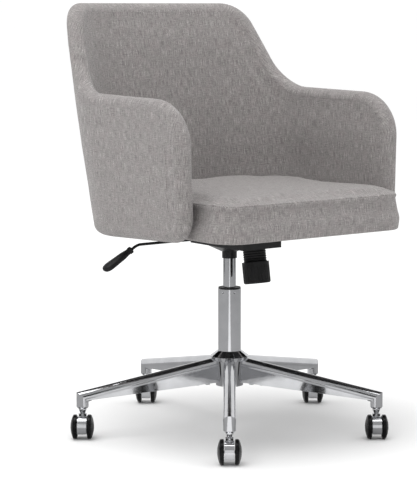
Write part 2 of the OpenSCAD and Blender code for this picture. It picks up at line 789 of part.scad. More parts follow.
// A closed skin round the sheet from h0 to h1, its rim drawn in by inset and rounded over
// a width of edge in the given steps
module sheet(h0, h1, inset, edge, steps, rows) {
    half_cols = len(top_line) - 1;
    cols = 2 * half_cols + 1;
    grid = cols * (rows + 1);
    mid_h = (h0 + h1) / 2;
    half_h = (h1 - h0) / 2;
    function flat(i, j, d) =
        let (
            k = abs(i - half_cols),
            top = top_line[k] - top_out[k] * d,
            low = low_line[k] - low_out[k] * d,
            p = low + (top - low) * j / rows
        )
        [(i < half_cols ? -1 : 1) * p.x, p.y];
    function at(i, j, d, h) = let (p = flat(i, j, d)) place(p.x, p.y, h);
    border = concat(
        [for (i = [0:cols - 1]) [i, rows]],
        [for (j = [rows - 1:-1:1]) [cols - 1, j]],
        [for (i = [cols - 1:-1:0]) [i, 0]],
        [for (j = [1:rows - 1]) [0, j]]
    );
    turns = len(border);
    function spot(m, r) =
        let (b = border[m % turns], g = b.x * (rows + 1) + b.y)
        r == 0 ? g : r == steps ? grid + g : 2 * grid + (r - 1) * turns + m % turns;
    points = concat(
        [for (i = [0:cols - 1], j = [0:rows]) at(i, j, inset + edge, h1)],
        [for (i = [0:cols - 1], j = [0:rows]) at(i, j, inset + edge, h0)],
        [for (r = [1:1:steps - 1], b = border)
            let (a = 90 - 180 * r / steps)
            at(b.x, b.y, inset + edge * (1 - cos(a)), mid_h + half_h * sin(a))]
    );
    outer = [for (i = [0:cols - 2], j = [0:rows - 1])
        let (g = i * (rows + 1) + j)
        each [[g, g + rows + 2, g + 1], [g, g + rows + 1, g + rows + 2]]];
    inner = [for (f = outer) [f[0] + grid, f[2] + grid, f[1] + grid]];
    rim = [for (r = [0:steps - 1], m = [0:turns - 1]) each [
        [spot(m, r), spot(m + 1, r + 1), spot(m, r + 1)],
        [spot(m, r), spot(m + 1, r), spot(m + 1, r + 1)]
    ]];
    polyhedron(points, concat(outer, inner, rim), convexity = 8);
}

core_inset = 14;
core_gap = 0.5;

// ---------- Seat ----------

seat_gap = 3;
seat_half_w = half_w(seat_z) - shell_t / 2 - seat_gap;
seat_rear = half_b(seat_z) - shell_t / 2 - seat_gap;
seat_rear_r = corner_r - shell_t / 2 - seat_gap;
seat_front_r = 60;
skirt_t = 8;
cover_inset = 1.5 * skirt_t;
lip_w = cover_inset - free_gap;

// The seat's plan, drawn in by inset
module seat_plan(inset) {
    a = seat_half_w - inset;
    front = -seat_ahead + inset;
    rear = seat_rear - inset;
    rf = seat_front_r - inset;
    rr = seat_rear_r - inset;
    for (side = [-1, 1]) {
        translate([side * (a - rf), front + rf]) circle(rf);
        translate([side * (a - rr), rear - rr]) circle(rr);
    }
    translate([-a, front + rf]) square([2 * a, rear - rr - front - rf]);
    translate([-a + rf, front]) square([2 * (a - rf), rear - rr - front]);
    translate([-a + rr, front + rf]) square([2 * (a - rr), rear - front - rf]);
}

// The bolts that join the shell to the seat board: place and direction of each
shell_bolt_r = 3;
shell_bolt_z = seat_z + board_t / 2;
shell_bolt_in = 34;

module at_shell_bolts() {
    side_face = half_w(shell_bolt_z) + core_t / 2 + core_gap;
    rear_face = half_b(shell_bolt_z) + core_t / 2 + core_gap;
    for (side = [0, 1], y = [-0.75 * arm_ahead, -0.4 * arm_ahead, 0]) mirror([side, 0, 0])
        translate([side_face, y, shell_bolt_z]) rotate([0, 90, 0]) children();
    for (x = [-60, 60]) translate([x, rear_face, shell_bolt_z]) rotate([-90, 0, 0]) children();
}

// The bolts' clearance, in the padding and the core
module shell_bolt_space() {
    depth = shell_bolt_in + shell_t / 2 + seat_gap + skirt_t;
    at_shell_bolts() {
        translate([0, 0, -depth]) cylinder(r = shell_bolt_r + bolt_gap, h = depth + 1, $fn = 24);
        cylinder(r = 6 + bolt_gap, h = 3 + bolt_gap, $fn = 24);
    }
}

module shell_bolts() {
    depth = shell_bolt_in + shell_t / 2 + seat_gap;
    color(steel) at_shell_bolts() {
        translate([0, 0, -depth]) cylinder(r = shell_bolt_r, h = depth);
        cylinder(r = 6, h = 3);
    }
}

module seat_board() {
    color(plywood) difference() {
        translate([0, 0, seat_z]) linear_extrude(board_t) seat_plan(skirt_t);
        for (p = seat_bolt_at) translate([p.x, p.y, seat_z - 1]) cylinder(r = seat_bolt_r, h = board_t);
        at_shell_bolts() translate([0, 0, -100]) cylinder(r = shell_bolt_r, h = 100);
    }
}

module seat_cushion() {
    crown_inset = 12;
    crown_h = 8;
    color(fabric) difference() {
        union() {
            translate([0, 0, seat_z - seat_lip]) linear_extrude(seat_side_h + seat_lip) seat_plan(0);
            translate([0, 0, seat_z + seat_side_h - 1]) linear_extrude(crown_h + 1) seat_plan(crown_inset);
        }
        translate([0, 0, seat_z - 1]) linear_extrude(board_t + 1) seat_plan(skirt_t);
        translate([0, 0, seat_z - seat_lip - 1]) linear_extrude(seat_lip + 1) seat_plan(lip_w);
        at_shell_bolts() translate([0, 0, -60]) cylinder(r = shell_bolt_r + bolt_gap, h = 60);
    }
}

module dust_cover() {
    color(black) difference() {
        translate([0, 0, seat_z - cover_t]) linear_extrude(cover_t) seat_plan(cover_inset);
        for (p = seat_bolt_at) translate([p.x, p.y, seat_z - 2])
            cylinder(r = seat_bolt_r + bolt_gap, h = 4);
    }
}

module back_shell() {
    color(fabric) difference() {
        sheet(-shell_t / 2, shell_t / 2, 0, shell_t / 2, 6, 7);
        sheet(-core_t / 2 - core_gap, core_t / 2 + core_gap, core_inset - core_gap, 0, 1, 7);
        shell_bolt_space();
    }
}

module shell_core() {
    color(plywood) difference() {
        sheet(-core_t / 2, core_t / 2, core_inset, 0, 1, 7);
        shell_bolt_space();
    }
}

base_hub();
base_leg(1);  // base_leg_1
base_leg(2);  // base_leg_2
base_leg(3);  // base_leg_3
base_leg(4);  // base_leg_4
base_leg(5);  // base_leg_5
leg_bolts();
caster_sockets();
column_tube();
column_bush();
piston_rod();
thrust_bearing();
retaining_clip();
gas_cylinder();
release_pin();
mechanism_housing();
pivot_bushes();
tension_sleeve();
tension_spring();
spring_seat();
tension_knob();
tension_bolt();
lever_cam();
lever_rod();
lever_handle();
seat_plate();
tilt_shaft();
shaft_clips();
seat_bolts();
seat_board();
seat_cushion();
dust_cover();
back_shell();
shell_core();
shell_bolts();
caster_stem(1);  // caster_stem_1
caster_hood(1);  // caster_hood_1
caster_axle(1);  // caster_axle_1
wheel_left(1);  // wheel_left_1
wheel_right(1);  // wheel_right_1
caster_stem(2);  // caster_stem_2
caster_hood(2);  // caster_hood_2
caster_axle(2);  // caster_axle_2
wheel_left(2);  // wheel_left_2
wheel_right(2);  // wheel_right_2
caster_stem(3);  // caster_stem_3
caster_hood(3);  // caster_hood_3
caster_axle(3);  // caster_axle_3
wheel_left(3);  // wheel_left_3
wheel_right(3);  // wheel_right_3
caster_stem(4);  // caster_stem_4
caster_hood(4);  // caster_hood_4
caster_axle(4);  // caster_axle_4
wheel_left(4);  // wheel_left_4
wheel_right(4);  // wheel_right_4
caster_stem(5);  // caster_stem_5
caster_hood(5);  // caster_hood_5
caster_axle(5);  // caster_axle_5
wheel_left(5);  // wheel_left_5
wheel_right(5);  // wheel_right_5
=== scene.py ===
import json
import math

import bpy
import numpy as np
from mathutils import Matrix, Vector, noise
from mathutils.bvhtree import BVHTree


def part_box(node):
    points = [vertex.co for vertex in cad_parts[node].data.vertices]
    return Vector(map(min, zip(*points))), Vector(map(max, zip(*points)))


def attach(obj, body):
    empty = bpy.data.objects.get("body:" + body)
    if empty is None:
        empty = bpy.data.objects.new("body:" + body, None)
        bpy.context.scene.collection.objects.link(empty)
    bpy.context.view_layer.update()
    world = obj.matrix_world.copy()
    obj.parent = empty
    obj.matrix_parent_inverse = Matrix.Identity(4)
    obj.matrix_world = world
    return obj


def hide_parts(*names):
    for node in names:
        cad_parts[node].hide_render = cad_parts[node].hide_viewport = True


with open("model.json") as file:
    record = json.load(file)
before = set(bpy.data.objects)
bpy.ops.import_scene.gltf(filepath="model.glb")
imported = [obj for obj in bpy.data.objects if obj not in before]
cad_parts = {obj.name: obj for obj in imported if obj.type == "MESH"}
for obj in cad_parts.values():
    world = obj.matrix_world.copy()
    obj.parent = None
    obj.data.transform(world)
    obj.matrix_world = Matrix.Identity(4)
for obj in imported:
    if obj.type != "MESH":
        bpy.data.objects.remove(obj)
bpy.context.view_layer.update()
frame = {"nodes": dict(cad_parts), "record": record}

MM = 0.001


# ---------- Meshes and noise ----------

def new_piece(name, points, faces, material=None, uv=None):
    """A smooth-shaded mesh object; uv holds one (u, v) for each corner of each face."""
    mesh = bpy.data.meshes.new(name)
    mesh.from_pydata([tuple(p) for p in points], [], [tuple(f) for f in faces])
    mesh.validate()
    mesh.polygons.foreach_set("use_smooth", [True] * len(mesh.polygons))
    if uv is not None:
        layer = mesh.uv_layers.new(name="weave")
        layer.data.foreach_set("uv", np.asarray(uv, np.float32).ravel())
    piece = bpy.data.objects.new(name, mesh)
    bpy.context.scene.collection.objects.link(piece)
    if material:
        mesh.materials.append(material)
    return piece


def coords(mesh):
    co = np.zeros(len(mesh.vertices) * 3)
    mesh.vertices.foreach_get("co", co)
    return co.reshape(-1, 3)


def smooth_noise(points, wavelength, seed=0.0):
    """One value from -1 to 1 for each point, changing over about wavelength."""
    shifted = np.asarray(points) / wavelength + (seed, 2 * seed, -seed)
    return np.array([noise.noise(Vector(p)) for p in shifted])


def smoothstep(x, low, high):
    t = np.clip((np.asarray(x, float) - low) / (high - low), 0, 1)
    return t * t * (3 - 2 * t)


def ring_faces(first, second, count):
    """Quads between two closed rings of count points, given the index of each ring's first point."""
    step = np.arange(count)
    after = (step + 1) % count
    return np.stack([first + step, first + after, second + after, second + step], 1)


def loft(name, rings, material):
    """A closed mesh through rings of points, each an array of the same length."""
    count = len(rings[0])
    points = np.concatenate(rings)
    faces = [f for k in range(len(rings) - 1) for f in ring_faces(k * count, (k + 1) * count, count)]
    faces.append(list(range(count))[::-1])
    faces.append(list(range((len(rings) - 1) * count, len(rings) * count)))
    return new_piece(name, points, faces, material)


def tube_rings(path, radius, sides=24):
    """Circles of the given radius across a path of points, with no twist."""
    path = np.asarray(path, float)
    ahead = np.gradient(path, axis=0)
    ahead /= np.linalg.norm(ahead, axis=1)[:, None]
    across = np.cross(ahead[0], (0, 1, 0) if abs(ahead[0][1]) < 0.9 else (0, 0, 1))
    rings = []
    turn = np.linspace(0, 2 * np.pi, sides, endpoint=False)
    for k, p in enumerate(path):
        across = across - ahead[k] * (across @ ahead[k])
        across /= np.linalg.norm(across)
        up = np.cross(ahead[k], across)
        r = radius[k] if np.ndim(radius) else radius
        rings.append(p + r * (np.cos(turn)[:, None] * across + np.sin(turn)[:, None] * up))
    return rings


# ---------- Materials ----------

class Shader:
    """A material under construction, with one short method for each kind of node."""

    def __init__(self, name, **settings):
        self.material = bpy.data.materials.new(name)
        self.material.use_nodes = True
        self.tree = self.material.node_tree
        self.surface = self.tree.nodes["Principled BSDF"]
        for socket, value in settings.items():
            self.surface.inputs[socket.replace("_", " ")].default_value = value

    def node(self, kind, **settings):
        made = self.tree.nodes.new("ShaderNode" + kind)
        for key, value in settings.items():
            setattr(made, key, value)
        return made

    def plug(self, source, socket):
        if isinstance(source, (int, float)):
            socket.default_value = source
        elif isinstance(source, tuple):
            socket.default_value = source
        else:
            self.tree.links.new(source, socket)

    def to(self, socket_name, source):
        self.plug(source, self.surface.inputs[socket_name])

    def object_point(self):
        return self.node("TexCoord").outputs["Object"]

    def weave_point(self):
        return self.node("UVMap", uv_map="weave").outputs["UV"]

    def stretch(self, point, x, y, z=1.0):
        mapping = self.node("Mapping")
        mapping.inputs["Scale"].default_value = (x, y, z)
        self.plug(point, mapping.inputs["Vector"])
        return mapping.outputs["Vector"]

    def clouds(self, point, scale, detail=2.0, roughness=0.5):
        made = self.node("TexNoise")
        made.inputs["Scale"].default_value = scale
        made.inputs["Detail"].default_value = detail
        made.inputs["Roughness"].default_value = roughness
        self.plug(point, made.inputs["Vector"])
        return made.outputs["Fac"]

    def math(self, operation, a, b=0.0):
        made = self.node("Math", operation=operation)
        self.plug(a, made.inputs[0])
        self.plug(b, made.inputs[1])
        return made.outputs[0]

    def between(self, value, low, high, from_low=0.3, from_high=0.7):
        made = self.node("MapRange")
        self.plug(value, made.inputs["Value"])
        limits = {"From Min": from_low, "From Max": from_high, "To Min": low, "To Max": high}
        for key, number in limits.items():
            made.inputs[key].default_value = number
        return made.outputs["Result"]

    def ramp(self, value, stops):
        made = self.node("ValToRGB")
        elements = made.color_ramp.elements
        while len(elements) < len(stops):
            elements.new(0.5)
        for element, (place, colour) in zip(elements, stops):
            element.position = place
            element.color = (*colour, 1)
        self.plug(value, made.inputs["Fac"])
        return made.outputs["Color"]

    def mix(self, factor, a, b, blend="MIX"):
        made = self.node("Mix", data_type="RGBA", blend_type=blend)
        self.plug(factor, made.inputs["Factor"])
        for socket, source in ((made.inputs[6], a), (made.inputs[7], b)):
            self.plug((*source, 1) if isinstance(source, tuple) and len(source) == 3 else source, socket)
        return made.outputs[2]

    def bump(self, height, distance, strength=1.0, normal=None):
        made = self.node("Bump")
        made.inputs["Distance"].default_value = distance
        made.inputs["Strength"].default_value = strength
        self.plug(height, made.inputs["Height"])
        if normal:
            self.plug(normal, made.inputs["Normal"])
        return made.outputs["Normal"]

    def rounded_edges(self, radius):
        made = self.node("Bevel", samples=4)
        made.inputs["Radius"].default_value = radius
        return made.outputs["Normal"]


def linear(r, g, b):
    """A screen colour, each channel from 0 to 255, as the linear values that a shader takes."""
    return tuple((c / 255 / 12.92) if c <= 10 else ((c / 255 + 0.055) / 1.055) ** 2.4 for c in (r, g, b))


def grey_fabric():
    """Heathered plain weave: warp and weft yarns of several greys, with slubs, and a soft nap."""
    pitch = 1.15 * MM
    s = Shader("grey_fabric", Roughness=0.92, Sheen_Weight=0.22, Sheen_Roughness=0.45)
    s.surface.inputs["Specular IOR Level"].default_value = 0.18
    uv = s.weave_point()
    wander = s.node("VectorMath", operation="MULTIPLY_ADD")
    drift = s.node("TexNoise")
    drift.inputs["Scale"].default_value = 220
    s.plug(uv, drift.inputs["Vector"])
    s.plug(drift.outputs["Color"], wander.inputs[0])
    wander.inputs[1].default_value = (0.0009, 0.0009, 0)
    s.plug(uv, wander.inputs[2])
    loose = wander.outputs[0]
    parts = s.node("SeparateXYZ")
    s.plug(loose, parts.inputs[0])
    across = s.math("SINE", s.math("MULTIPLY", parts.outputs["X"], math.pi / pitch))
    along = s.math("SINE", s.math("MULTIPLY", parts.outputs["Y"], math.pi / pitch))
    weave = s.math("MULTIPLY", across, along)
    warp_shade = s.clouds(s.stretch(loose, 0.9 / pitch, 45), 1.0, 2.0, 0.6)
    weft_shade = s.clouds(s.stretch(loose, 60, 0.9 / pitch), 1.0, 2.0, 0.6)
    warp = s.ramp(warp_shade, [
        (0.30, linear(84, 80, 79)), (0.46, linear(144, 140, 138)),
        (0.60, linear(172, 168, 164)), (0.74, linear(224, 220, 215))
    ])
    weft = s.ramp(weft_shade, [
        (0.30, linear(104, 98, 99)), (0.48, linear(141, 135, 134)),
        (0.62, linear(160, 153, 151)), (0.76, linear(192, 187, 183))
    ])
    yarns = s.mix(s.between(weave, 0.0, 1.0, -0.25, 0.25), weft, warp)
    specks = s.clouds(s.stretch(uv, 1.0, 0.6), 520, 3.0, 0.65)
    flecked = s.mix(0.55, yarns, s.ramp(specks, [
        (0.30, linear(108, 103, 102)), (0.50, linear(160, 155, 153)), (0.70, linear(214, 209, 205))
    ]), "MULTIPLY")
    lifted = s.mix(1.0, flecked, (1.20, 1.24, 1.268), "MULTIPLY")
    tint = s.ramp(s.clouds(uv, 38, 3.0, 0.6), [
        (0.35, (0.96, 0.985, 0.96)), (0.50, (1, 1, 1)), (0.65, (1.0, 0.965, 0.97))
    ])
    s.to("Base Color", s.mix(0.5, lifted, tint, "MULTIPLY"))
    s.to("Roughness", s.between(specks, 0.86, 0.97))
    height = s.math("ADD", s.math("MULTIPLY", s.math("ABSOLUTE", weave), 0.7),
                    s.math("MULTIPLY", warp_shade, 0.6))
    s.to("Normal", s.bump(height, 0.35 * MM, 0.7))
    return s.material


def chrome():
    s = Shader("chrome", Metallic=1.0)
    point = s.object_point()
    smudge = s.clouds(point, 26, 4.0, 0.6)
    s.to("Base Color", s.ramp(smudge, [(0.3, (0.50, 0.505, 0.52)), (0.7, (0.57, 0.575, 0.59))]))
    s.to("Roughness", s.between(s.clouds(point, 60, 5.0, 0.65), 0.045, 0.11))
    ripple = s.clouds(point, 34, 1.0, 0.4)
    s.to("Normal", s.bump(ripple, 0.25 * MM, 0.35, s.rounded_edges(0.9 * MM)))
    return s.material


def zinc_steel():
    s = Shader("zinc_steel", Metallic=1.0)
    point = s.object_point()
    spangle = s.clouds(point, 320, 3.0, 0.6)
    s.to("Base Color", s.ramp(spangle, [(0.3, (0.38, 0.39, 0.41)), (0.7, (0.55, 0.56, 0.58))]))
    s.to("Roughness", s.between(s.clouds(point, 140, 3.0), 0.28, 0.42))
    s.to("Normal", s.bump(spangle, 0.1 * MM, 0.4, s.rounded_edges(0.5 * MM)))
    return s.material


def black_steel():
    """Powder-coated steel: fine orange peel, a little grey dust in random patches."""
    s = Shader("black_steel")
    s.surface.inputs["Specular IOR Level"].default_value = 0.32
    point = s.object_point()
    dust = s.clouds(point, 18, 5.0, 0.65)
    s.to("Base Color", s.ramp(dust, [(0.35, (0.007, 0.007, 0.0075)), (0.75, (0.017, 0.017, 0.0175))]))
    s.to("Roughness", s.between(dust, 0.34, 0.48))
    peel = s.clouds(point, 900, 2.0, 0.5)
    s.to("Normal", s.bump(peel, 0.12 * MM, 0.45, s.rounded_edges(0.8 * MM)))
    return s.material


def black_plastic():
    """Moulded plastic with a fine spark-eroded grain, and broad random patches a little lighter and duller.
    """
    s = Shader("black_plastic")
    s.surface.inputs["Specular IOR Level"].default_value = 0.2
    point = s.object_point()
    grain = s.clouds(point, 1500, 3.0, 0.6)
    handled = s.clouds(point, 45, 3.0, 0.55)
    s.to("Base Color", s.ramp(handled, [(0.3, (0.006, 0.006, 0.0065)), (0.7, (0.013, 0.013, 0.0135))]))
    s.to("Roughness", s.between(handled, 0.38, 0.55))
    s.to("Normal", s.bump(grain, 0.10 * MM, 0.6, s.rounded_edges(0.6 * MM)))
    return s.material


def wheel_plastic():
    """Hard nylon: glossy dome, scuffed and dustier on the rolling tread."""
    s = Shader("wheel_plastic")
    s.surface.inputs["Specular IOR Level"].default_value = 0.17
    point = s.object_point()
    height = s.node("SeparateXYZ")
    s.plug(point, height.inputs[0])
    low = s.between(height.outputs["Z"], 1.0, 0.0, 0.0, 9 * MM)
    scuffs = s.clouds(s.stretch(point, 1, 1, 0.25), 420, 4.0, 0.7)
    worn = s.math("MULTIPLY", low, s.between(scuffs, 0.0, 1.0, 0.42, 0.62))
    s.to("Base Color", s.mix(worn, (0.0022, 0.0022, 0.0025), (0.020, 0.019, 0.018)))
    s.to("Roughness", s.between(s.clouds(point, 90, 4.0, 0.6), 0.20, 0.36))
    s.to("Normal", s.bump(scuffs, 0.06 * MM, 0.35, s.rounded_edges(0.7 * MM)))
    return s.material


def plywood():
    """Birch plywood: pale plies and darker glue lines across its thickness, long grain on its faces."""
    s = Shader("plywood", Roughness=0.62)
    point = s.object_point()
    parts = s.node("SeparateXYZ")
    s.plug(point, parts.inputs[0])
    plies = s.math("SINE", s.math("MULTIPLY", parts.outputs["Z"], 2 * math.pi / (2.8 * MM)))
    grain = s.clouds(s.stretch(point, 9, 220, 60), 1.0, 5.0, 0.6)
    face = s.ramp(grain, [
        (0.3, linear(176, 138, 96)), (0.55, linear(206, 172, 128)), (0.75, linear(222, 192, 150))
    ])
    s.to("Base Color", s.mix(s.between(plies, 0.0, 0.35, 0.55, 0.95), face, linear(120, 82, 50)))
    s.to("Normal", s.bump(grain, 0.2 * MM, 0.5))
    return s.material


def dust_fabric():
    """Black spun-bonded cambric: random fibres pressed flat, with a faint point-bond pattern."""
    s = Shader("dust_fabric", Roughness=0.95, Sheen_Weight=0.1)
    point = s.object_point()
    fibres = s.clouds(s.stretch(point, 1, 3.0), 420, 5.0, 0.75)
    bonds = s.node("TexVoronoi")
    bonds.inputs["Scale"].default_value = 620
    s.plug(point, bonds.inputs["Vector"])
    s.to("Base Color", s.ramp(fibres, [(0.35, (0.010, 0.010, 0.011)), (0.70, (0.042, 0.041, 0.042))]))
    height = s.math("ADD", fibres, bonds.outputs["Distance"])
    s.to("Normal", s.bump(height, 0.15 * MM, 0.7))
    return s.material


fabric = grey_fabric()
steel_black = black_steel()
MATERIALS = {
    "chrome": chrome(),
    "zinc_steel": zinc_steel(),
    "black_steel": steel_black,
    "black_plastic": black_plastic(),
    "wheel_plastic": wheel_plastic(),
    "plywood": plywood(),
    "grey_fabric": fabric,
    "dust_fabric": dust_fabric(),
}


def dress_frame():
    """Gives every CAD node the material of its slot in the record."""
    for part in frame["record"]["subparts"]:
        piece = frame["nodes"][part["node"]]
        piece.data.materials.clear()
        piece.data.materials.append(MATERIALS[part["material_slot"]])


# ---------- Shell: the sheet's own shape ----------

# The sheet is laid out flat: s runs along the wall from the middle of the back, z is height.
shell_low, shell_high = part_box("back_shell")
seat_low, seat_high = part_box("seat_cushion")
seat_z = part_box("seat_board")[0].z
lip = seat_z - seat_low.z
top_z = shell_high.z
ref_z = seat_z - 0.019
WALL = 0.039
EDGE = WALL / 2
CORNER = 0.160
HALF_W, FLARE, SIDE_BULGE = 0.269, 0.008, 0.003
HALF_B, LEAN, BACK_SAG = 0.196, 0.109, 0.004
ARM_AHEAD = 0.221
BACK_RUN, VALLEY_RUN = 0.240, 0.317
arm_front_z = seat_z + 0.272
arm_back_z = seat_z + 0.278
low_back_z = shell_low.z
low_front_z = seat_z - 0.011


def wall_width(z):
    g = (z - ref_z) / (top_z - ref_z)
    return HALF_W + FLARE * g + 4 * SIDE_BULGE * g * (1 - g)


def wall_back(z):
    g = (z - ref_z) / (top_z - ref_z)
    return HALF_B + LEAN * g - 4 * BACK_SAG * g * (1 - g)


mid_z = (ref_z + arm_back_z) / 2
run_back = wall_width(mid_z) - CORNER
run_corner = math.pi * CORNER / 2
run_arm = ARM_AHEAD + wall_back(mid_z) - CORNER
run_end = run_back + run_corner + run_arm


def on_wall(flat, h):
    """Takes points (s, z) of the laid-out sheet to their places, h outwards from the middle of the wall."""
    s, z = flat[:, 0], flat[:, 1]
    a = np.abs(s)
    w, b = wall_width(z), wall_back(z)
    turn = np.pi / 2 * np.clip((a - run_back) / run_corner, 0, 1)
    ahead = np.clip((a - run_back - run_corner) / run_arm, 0, None)
    x = np.where(a < run_back, (w - CORNER) * a / run_back, w - CORNER + (CORNER + h) * np.sin(turn))
    y = b - CORNER + (CORNER + h) * np.cos(turn) - ahead * (ARM_AHEAD + b - CORNER)
    return np.stack([np.where(s < 0, -x, x), y, z], 1)


def round_corner(a, b, c, radius, steps):
    """Points of a rounded corner at b, between the lines to a and c."""
    a, b, c = (np.array(p, float) for p in (a, b, c))
    u = (a - b) / np.linalg.norm(a - b)
    v = (c - b) / np.linalg.norm(c - b)
    half = math.acos(u @ v) / 2
    centre = b + (u + v) / np.linalg.norm(u + v) * radius / math.sin(half)
    p = b + u * radius / math.tan(half) - centre
    q = b + v * radius / math.tan(half) - centre
    start = math.atan2(p[1], p[0])
    sweep = math.atan2(p[0] * q[1] - p[1] * q[0], p @ q)
    turn = start + sweep * np.linspace(0, 1, steps + 1)
    return centre + radius * np.stack([np.cos(turn), np.sin(turn)], 1)


def divide(points, step):
    """Adds points so that no stretch is longer than step."""
    out = []
    for p, q in zip(points[:-1], points[1:]):
        n = max(1, math.ceil(np.linalg.norm(q - p) / step))
        out.extend(p + (q - p) * k / n for k in range(n))
    out.append(points[-1])
    return np.array(out)


def half_outline(step=7 * MM):
    """The right half of the sheet's top line, and the low line under it at the same s."""
    top_a, top_b = (0, top_z), (BACK_RUN, top_z)
    top_c, top_d = (VALLEY_RUN, arm_back_z), (run_end, arm_front_z)
    low_a, low_b = (0, low_back_z), (run_back + 0.4 * run_corner, low_back_z)
    low_c = (run_end, low_front_z)
    top = divide(np.concatenate([
        [top_a], round_corner(top_a, top_b, top_c, 0.074, 14), round_corner(top_b, top_c, top_d, 0.102, 16),
        round_corner(top_c, top_d, low_c, 0.095, 26)
    ]), step)
    low = np.concatenate([
        [low_a], round_corner(low_a, low_b, low_c, 0.400, 12), round_corner(low_b, low_c, top_d, 0.056, 24)
    ])
    return top, np.stack([top[:, 0], np.interp(top[:, 0], low[:, 0], low[:, 1])], 1)


def outward(line, side):
    """Unit normals of the half outline, straight out at its two ends."""
    d = np.gradient(line, axis=0)
    d /= np.linalg.norm(d, axis=1)[:, None]
    n = side * np.stack([-d[:, 1], d[:, 0]], 1)
    n[0], n[-1] = (0, side), (1, 0)
    return n


SEAM_DEPTH = 2.2 * MM
SEAM_WIDTH = 1.5 * MM
OUTER_SEAM = 25 * MM       # from the rim to the boxing seam, on the outer face
INNER_SEAM = 22 * MM       # the same on the inner face
PANEL_EDGE = 46 * MM       # where the rings of the rim end and the panel's grid begins


def seam_relief(distance):
    """How far cloth sinks at a distance from its seam: a tight crease in a shallow valley."""
    crease = np.exp(-(distance / SEAM_WIDTH) ** 2)
    valley = np.exp(-(distance / (6 * MM)) ** 2)
    return -SEAM_DEPTH * (0.75 * crease + 0.25 * valley)


